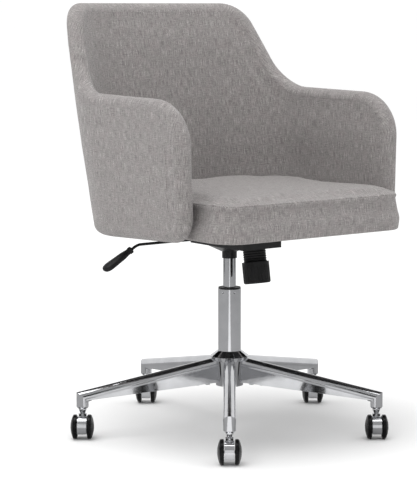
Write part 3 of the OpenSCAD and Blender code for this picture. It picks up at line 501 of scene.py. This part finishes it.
def upholstered_shell(rows=64, rim_steps=16):
    """The padded wall with its boxing band and seams, laid out on the sheet and taken to its place."""
    top, low = half_outline()
    top_out, low_out = outward(top, 1), outward(low, -1)
    half = len(top) - 1
    cols = 2 * half + 1
    side = np.where(np.arange(cols) < half, -1.0, 1.0)
    pick = np.abs(np.arange(cols) - half)

    def flat_grid(inset):
        t = top[pick] - top_out[pick] * inset
        b = low[pick] - low_out[pick] * inset
        share = np.linspace(0, 1, rows + 1)[None, :, None]
        grid = b[:, None, :] + (t - b)[:, None, :] * share
        grid[:, :, 0] *= side[:, None]
        return grid

    border = [(i, rows) for i in range(cols)]
    border += [(cols - 1, j) for j in range(rows - 1, 0, -1)]
    border += [(i, 0) for i in range(cols - 1, -1, -1)]
    border += [(0, j) for j in range(1, rows)]
    bi, bj = np.array(border).T
    around = len(border)

    near_seam = np.array([-7, -4.5, -3, -2, -1.2, -0.6, 0, 0.6, 1.2, 2, 3, 4.5, 7]) * MM
    outer_d = np.unique(np.concatenate([OUTER_SEAM + near_seam, [36 * MM, 41 * MM, PANEL_EDGE]]))[::-1]
    inner_d = np.unique(np.concatenate([INNER_SEAM + near_seam, [33 * MM, 39 * MM, PANEL_EDGE]]))
    outer_d = outer_d[outer_d > EDGE + 0.3 * MM]
    inner_d = inner_d[inner_d > EDGE + 0.3 * MM]
    turn = np.linspace(0, np.pi, rim_steps + 1)
    ring_d = np.concatenate([outer_d, EDGE * (1 - np.sin(turn)), inner_d])
    ring_h = np.concatenate([np.full(len(outer_d), EDGE), EDGE * np.cos(turn), np.full(len(inner_d), -EDGE)])
    ring_t = np.concatenate([-outer_d, EDGE * (turn - 1), EDGE * (math.pi - 1) + inner_d - EDGE])
    cut = len(outer_d) + rim_steps          # the last ring of the boxing band

    puff_out, puff_in = 1.0 * MM, 3.5 * MM
    seat_top = seat_high.z + 12 * MM

    def relief(flat, inset, h):
        """h with the padding's swell, the seams' creases and a little unevenness."""
        out = h > 0
        seam = np.where(out, OUTER_SEAM, INNER_SEAM)
        from_seam = np.where(np.abs(h) > EDGE * 0.2, inset - seam, 20 * MM)
        at_arm_front = smoothstep(np.abs(flat[:, 0]), run_end - 190 * MM, run_end - 90 * MM)
        sink = seam_relief(from_seam) * np.where(out, 0.08 + 0.30 * at_arm_front, 0.10)
        inside = smoothstep(inset, seam, seam + 70 * MM)
        clear = smoothstep(flat[:, 1], seat_top, seat_top + 90 * MM)
        swell = np.where(out, puff_out * inside, puff_in * inside * clear)
        point = np.column_stack([flat, np.where(out, 0.0, 0.3)])
        uneven = 0.9 * MM * smooth_noise(point, 0.085, 3.1) + 0.35 * MM * smooth_noise(point, 0.030, 7.7)
        pucker = 0.45 * MM * smooth_noise(point, 0.011, 5.2) * np.exp(-(from_seam / (9 * MM)) ** 2)
        amount = swell + sink + (uneven + pucker) * np.clip(np.abs(h) / EDGE, 0, 1)
        return h + np.where(out, amount, -amount)

    grid = flat_grid(PANEL_EDGE)
    flat_panel = grid.reshape(-1, 2)
    from_end = np.minimum(np.arange(cols), np.arange(cols)[::-1])
    reach = np.repeat(from_end, rows + 1) * 7 * MM
    height = grid[:, -1, 1] - grid[:, 0, 1]
    share = np.linspace(0, 1, rows + 1)[None, :]
    from_rim = np.minimum(share, 1 - share) * height[:, None]
    panel_inset = PANEL_EDGE + np.minimum(reach, from_rim.ravel())
    panel_size = cols * (rows + 1)
    outer_h = relief(flat_panel, panel_inset, np.full(panel_size, EDGE))
    inner_h = relief(flat_panel, panel_inset, np.full(panel_size, -EDGE))

    points = [on_wall(flat_panel, outer_h), on_wall(flat_panel, inner_h)]
    outline = flat_grid(0.0)[bi, bj]
    normal = (flat_grid(0.0) - flat_grid(1.0))[bi, bj]
    for d, h in zip(ring_d[1:-1], ring_h[1:-1]):
        ring = flat_grid(d)[bi, bj]
        points.append(on_wall(ring, relief(ring, np.full(around, d), np.full(around, h))))
    border_index = bi * (rows + 1) + bj
    rings = [border_index]
    rings += [2 * panel_size + k * around + np.arange(around) for k in range(len(ring_d) - 2)]
    rings += [panel_size + border_index]

    faces, uv = [], []
    i, j = np.meshgrid(np.arange(cols - 1), np.arange(rows), indexing="ij")
    g = (i * (rows + 1) + j).ravel()
    quad = np.stack([g, g + rows + 1, g + rows + 2, g + 1], 1)
    faces += [quad[:, ::-1], quad + panel_size]
    uv += [flat_panel[quad[:, ::-1]], flat_panel[quad]]
    step = np.arange(around)
    after = (step + 1) % around
    for k in range(len(rings) - 1):
        faces.append(np.stack([rings[k][step], rings[k + 1][step], rings[k + 1][after], rings[k][after]], 1))
        here, there = (
            (outline - normal * ring_d[m] if k >= cut else outline + normal * ring_t[m]) for m in (k, k + 1)
        )
        uv.append(np.stack([here[step], there[step], there[after], here[after]], 1))
    return new_piece("shell_upholstery", np.concatenate(points), np.concatenate(faces), fabric,
                     np.concatenate([u.reshape(-1, 2) for u in uv]))


# ---------- Seat cushion ----------

# The cover takes its size from the cushion's solid; the board stands on the seat's plane.
SEAT_FRONT_R = 0.060
SEAT_REAR_R = CORNER - EDGE - 3 * MM
BOXING_TOP = seat_high.z - 8 * MM
seat_half_w = seat_high.x


def seat_outline(spacing=5 * MM):
    """The seat's plan as a closed ring of points with their outward normals, evenly spaced."""
    corners = [
        (seat_half_w, seat_low.y, SEAT_FRONT_R, -90), (seat_half_w, seat_high.y, SEAT_REAR_R, 0),
        (-seat_half_w, seat_high.y, SEAT_REAR_R, 90), (-seat_half_w, seat_low.y, SEAT_FRONT_R, 180)
    ]
    points = []
    for x, y, r, start in corners:
        centre = np.array([x - math.copysign(r, x), y - math.copysign(r, y)])
        turn = np.radians(start + np.linspace(0, 90, 33))
        points.append(centre + r * np.stack([np.cos(turn), np.sin(turn)], 1))
    ring = np.concatenate(points + [points[0][:1]])
    run = np.concatenate([[0], np.cumsum(np.linalg.norm(np.diff(ring, axis=0), axis=1))])
    count = int(run[-1] / spacing)
    at = np.linspace(0, run[-1], count, endpoint=False)
    even = np.stack([np.interp(at, run, ring[:, k]) for k in (0, 1)], 1)
    ahead = np.roll(even, -1, 0) - np.roll(even, 1, 0)
    normal = np.stack([ahead[:, 1], -ahead[:, 0]], 1)
    return even, normal / np.linalg.norm(normal, axis=1)[:, None], at


def swollen_cushion(outline, normal):
    """A slightly small closed block of the cushion, blown up by cloth pressure; its underside is held."""
    count = len(outline)
    profile = [(4, 0), (3, 3), (3, 60), (6, 66), (14, 70), (40, 72)]
    rings = [
        np.column_stack([outline - normal * inset * MM, np.full(count, seat_z + z * MM)])
        for inset, z in profile
    ]
    block = loft("cushion_block", rings, None)
    remesh = block.modifiers.new("remesh", "REMESH")
    remesh.mode = "VOXEL"
    remesh.voxel_size = 6 * MM
    apply_all(block)
    rest = coords(block.data)
    held = block.vertex_groups.new(name="held")
    held.add([int(k) for k in np.nonzero(rest[:, 2] < seat_z + 5 * MM)[0]], 1.0, "REPLACE")
    cloth = block.modifiers.new("cloth", "CLOTH")
    settings = cloth.settings
    settings.quality = 6
    settings.mass = 0.25
    settings.tension_stiffness = 40
    settings.compression_stiffness = 40
    settings.shear_stiffness = 20
    settings.bending_stiffness = 4
    settings.use_pressure = True
    settings.uniform_pressure_force = 3.5
    settings.vertex_group_mass = "held"
    settings.effector_weights.gravity = 0
    for f in range(1, 21):
        bpy.context.scene.frame_set(f)
    apply_all(block)
    bpy.context.scene.frame_set(1)
    moved = coords(block.data) - rest
    far = np.linalg.norm(moved, axis=1)
    print("cushion sim moved", round(float(far.mean()), 5), round(float(far.max()), 5))
    cap = 9 * MM
    moved *= np.minimum(1, cap / np.maximum(far, 1e-9))[:, None]
    block.data.vertices.foreach_set("co", (rest + moved).ravel())
    soften = block.modifiers.new("soften", "SMOOTH")
    soften.iterations = 4
    finer = block.modifiers.new("finer", "SUBSURF")
    finer.levels = 1
    apply_all(block)
    return block


def apply_all(piece):
    """Replaces the piece's mesh by its evaluated one and drops its modifiers."""
    graph = bpy.context.evaluated_depsgraph_get()
    graph.update()
    made = bpy.data.meshes.new_from_object(piece.evaluated_get(graph))
    old = piece.data
    piece.modifiers.clear()
    piece.data = made
    bpy.data.meshes.remove(old)


def upholstered_seat():
    """The cushion's cover: rings round the boxing and the top, drawn over the swollen block."""
    outline, normal, run = seat_outline()
    count = len(outline)
    block = swollen_cushion(outline, normal)
    tree = BVHTree.FromObject(block, bpy.context.evaluated_depsgraph_get())
    bpy.data.objects.remove(block)

    seam_z = BOXING_TOP + 1 * MM
    core = 42 * MM
    core_z = seat_z + 34 * MM
    near = np.array([-7, -4.5, -3, -2, -1.2, -0.6, 0, 0.6, 1.2, 2, 3, 4.5, 7])
    side_z = np.concatenate([np.linspace(2.5 - lip / MM, 56, 17), (seam_z - seat_z) / MM + near[:7]])
    rings, relief = [], []
    for z in side_z:                                   # up the boxing to the seam
        rings.append((0.0, seat_z + z * MM))
        relief.append(z * MM + seat_z - seam_z)
    for t in near[7:]:                                 # over the shoulder
        rings.append((t * 0.8 * MM, seam_z + t * 0.6 * MM))
        relief.append(t * MM)
    for t in (10, 14, 19, 25, 32):
        rings.append((t * MM, seam_z + (5 + t * 0.12) * MM))
        relief.append(t * MM)

    def cast(origin, target):
        ahead = (target - origin).normalized()
        hit = tree.ray_cast(origin, ahead, 0.2)[0]
        return hit if hit is not None else target

    points = []
    for (inset, z), off in zip(rings, relief):
        sink = float(seam_relief(np.array(off)))
        for k in range(count):
            p, n = outline[k], normal[k]
            origin = Vector((*(p - n * core), core_z if z < seam_z - 10 * MM else core_z + 12 * MM))
            if z < seam_z - 10 * MM:
                origin.z = z
            tuck = 4 * MM * (1 - float(smoothstep(z, seat_low.z, seat_low.z + 34 * MM)))
            target = Vector((*(p - n * (inset + tuck)), z))
            firm = 1 - float(smoothstep(z, seat_z + 6 * MM, seat_z + 34 * MM))
            firm = max(firm, 0.45 * math.exp(-((z - seam_z) / (9 * MM)) ** 2))
            hit = cast(origin, target).lerp(target, firm) if firm < 1 else target
            points.append(hit + (target - origin).normalized() * sink)
    band = len(rings)
    first_top = len(points)
    edge = outline - normal * 32 * MM
    centre = np.array([0.0, (seat_low.y + seat_high.y) / 2])
    shares = np.linspace(0.965, 0.06, 40)
    for share in shares:
        for k in range(count):
            p = centre + (edge[k] - centre) * share
            points.append(cast(Vector((*p, core_z)), Vector((*p, core_z + 1))))
    hub = cast(Vector((*centre, core_z)), Vector((*centre, core_z + 1)))
    points.append(hub)
    co = np.array([tuple(p) for p in points])

    # Beside the wall the cover stays inside its solid, and ahead of the arms it may stand 6 mm proud
    way_out = normal[np.arange(first_top) % count]
    edge_point = outline[np.arange(first_top) % count]
    out = np.einsum("ij,ij->i", co[:first_top, :2] - edge_point, way_out)
    ahead_of_arms = smoothstep(co[:first_top, 1], -ARM_AHEAD - 30 * MM, -ARM_AHEAD - 60 * MM)
    room = -0.3 * MM + ahead_of_arms * 6 * MM
    co[:first_top, :2] -= way_out * np.maximum(out - room, 0)[:, None]
    above_foot = smoothstep(co[:, 2], seat_z + 4 * MM, seat_z + 30 * MM)
    co[:, 2] += 0.35 * MM * smooth_noise(co, 0.045, 2.2) * above_foot
    near_hem = 1 - smoothstep(co[:, 2], seat_z + 2 * MM, seat_z + 24 * MM)
    hem = 0.8 * MM * smooth_noise(co, 0.022, 9.1) * near_hem
    co[:first_top, :2] += way_out * np.where(ahead_of_arms > 0.5, hem[:first_top], 0)[:, None]

    # The cover turns under its rolled edge and up to the board
    board_rise = lip / MM + 0.3
    turned = [
        (5.0, 1.2), (6.4, 0.3), (8.2, 0.0), (10.0, 0.5), (11.0, 1.8), (11.3, board_rise), (30.0, board_rise)
    ]
    bottom = [
        np.column_stack([outline - normal * inset * MM, np.full(count, seat_low.z + z * MM)])
        for inset, z in turned
    ]
    first_bottom = len(co)
    co = np.concatenate([co] + bottom)

    faces, uv = [], []
    length = run[-1] + (run[1] - run[0])
    wrap = np.concatenate([run[1:], [length]])

    def band_uv(v0, v1):
        return np.stack([
            np.column_stack([run, np.full(count, v0)]), np.column_stack([wrap, np.full(count, v0)]),
            np.column_stack([wrap, np.full(count, v1)]), np.column_stack([run, np.full(count, v1)])
        ], 1)

    seam_ring = len(side_z) - 1
    for k in range(band - 1):
        quad = ring_faces(k * count, (k + 1) * count, count)
        faces.append(quad)
        uv.append(band_uv(rings[k][1], rings[k + 1][1]) if k < seam_ring else co[quad][:, :, :2])
    for k in range(band - 1, band - 1 + len(shares)):
        quad = ring_faces(k * count, (k + 1) * count, count)
        faces.append(quad)
        uv.append(co[quad][:, :, :2])
    for k in range(len(turned) - 1):
        quad = ring_faces(first_bottom + (k + 1) * count, first_bottom + k * count, count)
        faces.append(quad)
        uv.append(co[quad][:, :, :2])
    quad = ring_faces(first_bottom, 0, count)
    faces.append(quad)
    uv.append(band_uv(seat_low.z - 2 * MM, rings[0][1]))
    faces = [tuple(f) for f in np.concatenate(faces)]
    uv = [tuple(c) for c in np.concatenate([u.reshape(-1, 2) for u in uv])]
    last_ring = (band - 1 + len(shares)) * count
    hub_index = first_bottom - 1
    for k in range(count):
        tri = (last_ring + k, last_ring + (k + 1) % count, hub_index)
        faces.append(tri)
        uv.extend(tuple(co[v][:2]) for v in tri)
    under = list(range(first_bottom + (len(turned) - 1) * count, first_bottom + len(turned) * count))[::-1]
    faces.append(tuple(under))
    uv.extend(tuple(co[v][:2]) for v in under)
    return new_piece("seat_upholstery", co, faces, fabric, uv)


# ---------- Lever ----------

LEVER_BEND = math.radians(29)
ROD_TAIL = 27 * MM
rod_low, rod_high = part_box("lever_rod")
rod_y = (rod_low.y + rod_high.y) / 2
rod_r = (rod_high.y - rod_low.y) / 2
rod_z = rod_high.z - rod_r
bend_x = -0.228
bend_at = np.array([bend_x, rod_y, rod_z])
tail_way = np.array([-math.cos(LEVER_BEND), 0, -math.sin(LEVER_BEND)])


def lever_rod():
    """The rod in one piece, bent round a former of 34 mm."""
    former = 34 * MM
    tangent = former * math.tan(LEVER_BEND / 2)
    start = np.array([rod_high.x, rod_y, rod_z])
    centre = bend_at + (tangent, 0, -former)
    turn = np.linspace(0, LEVER_BEND, 14)
    arc = centre + former * np.stack([-np.sin(turn), 0 * turn, np.cos(turn)], 1)
    straight = start + (arc[0] - start) * np.linspace(0, 1, 24)[:-1, None]
    tail = arc[-1] + tail_way * np.linspace(0, ROD_TAIL + 12 * MM - tangent, 10)[1:, None]
    path = np.concatenate([straight, arc, tail])
    return loft("lever_bar", tube_rings(path, rod_r, 28), steel_black)


def lever_paddle():
    """The moulded handle: a collar, a neck, and a paddle that widens and rounds off at its end."""
    along = np.array([19, 19.6, 24.4, 25, 26, 31, 34, 38, 44, 52, 62, 72, 80, 86, 91, 94.5, 96.4, 97]) * MM
    wide = np.array([
        6.6, 8.0, 8.0, 6.8, 6.5, 6.8, 7.4, 8.2, 9.2, 10.2, 11.8, 12.7, 13, 12.7, 11.4, 9, 6, 2.6
    ]) * MM
    thick = np.array([
        6.4, 7.6, 7.6, 6.6, 6.4, 6.6, 7.0, 7.3, 7.5, 7.6, 7.4, 7.7, 7.9, 7.6, 6.9, 5.5, 3.6, 1.4
    ]) * MM
    fine = np.unique(np.concatenate([along, np.linspace(along[4], along[-1], 60)]))
    wide, thick = np.interp(fine, along, wide), np.interp(fine, along, thick)
    turn = np.linspace(0, 2 * np.pi, 48, endpoint=False)
    across = np.array([0, 1.0, 0])
    up = np.cross(tail_way, across)
    rings = []
    for t, w, h in zip(fine, wide, thick):
        power = 0.86 if t > 40 * MM else 1.0
        c = np.sign(np.cos(turn)) * np.abs(np.cos(turn)) ** power
        s = np.sign(np.sin(turn)) * np.abs(np.sin(turn)) ** power
        rings.append(bend_at + tail_way * t + w * c[:, None] * across + h * s[:, None] * up)
    return loft("lever_paddle", rings, MATERIALS["black_plastic"])


# ---------- Studio ----------

VIEW_AZIMUTH = math.radians(37.6)
FLOOR_HALF = 400
FLOOR_SHADE = 0.975
GREY, DARK, BLACK = 0.42, 0.01, 0.004


def area_light(name, place, aim, size, power):
    data = bpy.data.lights.new(name, "AREA")
    data.shape = "RECTANGLE"
    data.size, data.size_y = size
    data.energy = power
    lamp = bpy.data.objects.new(name, data)
    bpy.context.scene.collection.objects.link(lamp)
    lamp.location = place
    lamp.rotation_euler = (Vector(aim) - Vector(place)).to_track_quat("-Z", "Y").to_euler()


def distance_from_axis(shader):
    """Distance of the shaded point from the swivel axis."""
    parts = shader.node("SeparateXYZ")
    shader.plug(shader.object_point(), parts.inputs[0])
    squares = [shader.math("POWER", parts.outputs[k], 2.0) for k in ("X", "Y")]
    return shader.math("SQRT", shader.math("ADD", *squares))


def stage_sheet(name, centre, u, v, shade, painted_shadow_grey=None):
    """A flat grey rectangle from its centre and two half-sides; the last argument, when given, is its grey
    by the axis, a painted shadow of the chair that fades out from 0.22 to 0.66 m.
    """
    c, u, v = Vector(centre), Vector(u), Vector(v)
    sheet = new_piece(name, [c - u - v, c + u - v, c + u + v, c - u + v], [(0, 1, 2, 3)])
    s = Shader(name, Roughness=0.9)
    s.surface.inputs["Base Color"].default_value = (shade, shade, shade, 1)
    s.surface.inputs["Specular IOR Level"].default_value = 0.0
    # Painted shadow: the sheet is darker near the swivel axis, standing in for the chair's shadow on the
    # floor.
    if painted_shadow_grey:
        s.to("Base Color", s.between(distance_from_axis(s), painted_shadow_grey, shade, 0.22, 0.66))
    sheet.data.materials.append(s.material)
    return sheet


def reflected_only(card):
    """Only reflections see the card: it gives the chrome its bands."""
    card.visible_camera = False
    card.visible_diffuse = False
    card.visible_shadow = False
    card.visible_transmission = False


def upright_card(name, azimuth, distance, low, high, half_width, shade):
    """A standing card that faces the swivel axis; azimuth 0 is in front of the sitter."""
    a = math.radians(azimuth)
    centre = (math.sin(a) * distance, -math.cos(a) * distance, (low + high) / 2)
    along = Vector((math.cos(a), math.sin(a), 0)) * half_width
    reflected_only(stage_sheet(name, centre, along, (0, 0, (high - low) / 2), shade))


def level_card(name, height, near, far, left, right, shade):
    """A level card placed along and across the line of sight, measured from the swivel axis."""
    away = Vector((math.sin(VIEW_AZIMUTH), math.cos(VIEW_AZIMUTH), 0))
    across = Vector((away.y, -away.x, 0))
    centre = away * (near + far) / 2 + across * (left + right) / 2 + Vector((0, 0, height))
    half, half_across = away * (far - near) / 2, across * (right - left) / 2
    reflected_only(stage_sheet(name, centre, half, half_across, shade))


def studio():
    scene = bpy.context.scene
    scene.view_settings.view_transform = "Standard"
    world = bpy.data.worlds.new("studio")
    scene.world = world
    world.use_nodes = True
    background = world.node_tree.nodes["Background"]
    background.inputs["Color"].default_value = (1, 1, 1, 1)
    background.inputs["Strength"].default_value = 1.03
    # The floor is evenly bright except for a painted shadow, darker within 0.66 m of the swivel axis.
    stage_sheet("floor", (0, 0, 0), (FLOOR_HALF, 0, 0), (0, FLOOR_HALF, 0), FLOOR_SHADE, painted_shadow_grey=0.80)
    area_light("key", (-3.0, -1.4, 3.2), (0, 0, 0.5), (2.4, 2.4), 12)
    area_light("top", (-0.7, 0.1, 3.4), (0, 0, 0.4), (2.6, 2.6), 64)
    for k, card in enumerate([
        (9.4, 2.9, 0.0, 2.6, 1.75, GREY), (-84.6, 2.9, 0.0, 2.6, 1.75, GREY),
        (62, 2.4, 0.0, 2.6, 0.30, DARK), (-137, 2.4, 0.0, 2.6, 0.30, DARK),
        (-18, 2.5, 0.0, 1.5, 0.07, DARK), (-57, 2.5, 0.0, 1.5, 0.07, DARK)
    ]):
        upright_card(f"card_{k + 1}", *card)
    level_card("card_back", 3.0, 0.7, 4.6, -2.8, 2.8, BLACK)
    level_card("card_front", 2.9, -5.2, -0.9, -2.8, 2.8, GREY)
    level_card("card_left", 4 * MM, -4.0, 3.0, -3.2, -0.22, 0.40)
    level_card("card_right", 4 * MM, -4.0, 3.0, 0.22, 3.2, 0.40)


def camera():
    data = bpy.data.cameras.new("camera")
    made = bpy.data.objects.new("camera", data)
    bpy.context.scene.collection.objects.link(made)
    distance, height, tilt = 4.0, 0.913, math.radians(7.4)
    made.location = (-distance * math.sin(VIEW_AZIMUTH), -distance * math.cos(VIEW_AZIMUTH), height)
    made.rotation_euler = (math.pi / 2 - tilt, 0, -VIEW_AZIMUTH)
    data.sensor_width = 36
    data.lens = 133.9
    data.shift_x, data.shift_y = -0.042, -0.0026
    bpy.context.scene.camera = made


camera()
dress_frame()

shell = upholstered_shell()
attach(shell, "seat")
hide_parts("back_shell")

seat = upholstered_seat()
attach(seat, "seat")
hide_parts("seat_cushion")

bar = lever_rod()
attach(bar, "lever")
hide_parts("lever_rod")

paddle = lever_paddle()
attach(paddle, "lever")
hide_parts("lever_handle")

studio()
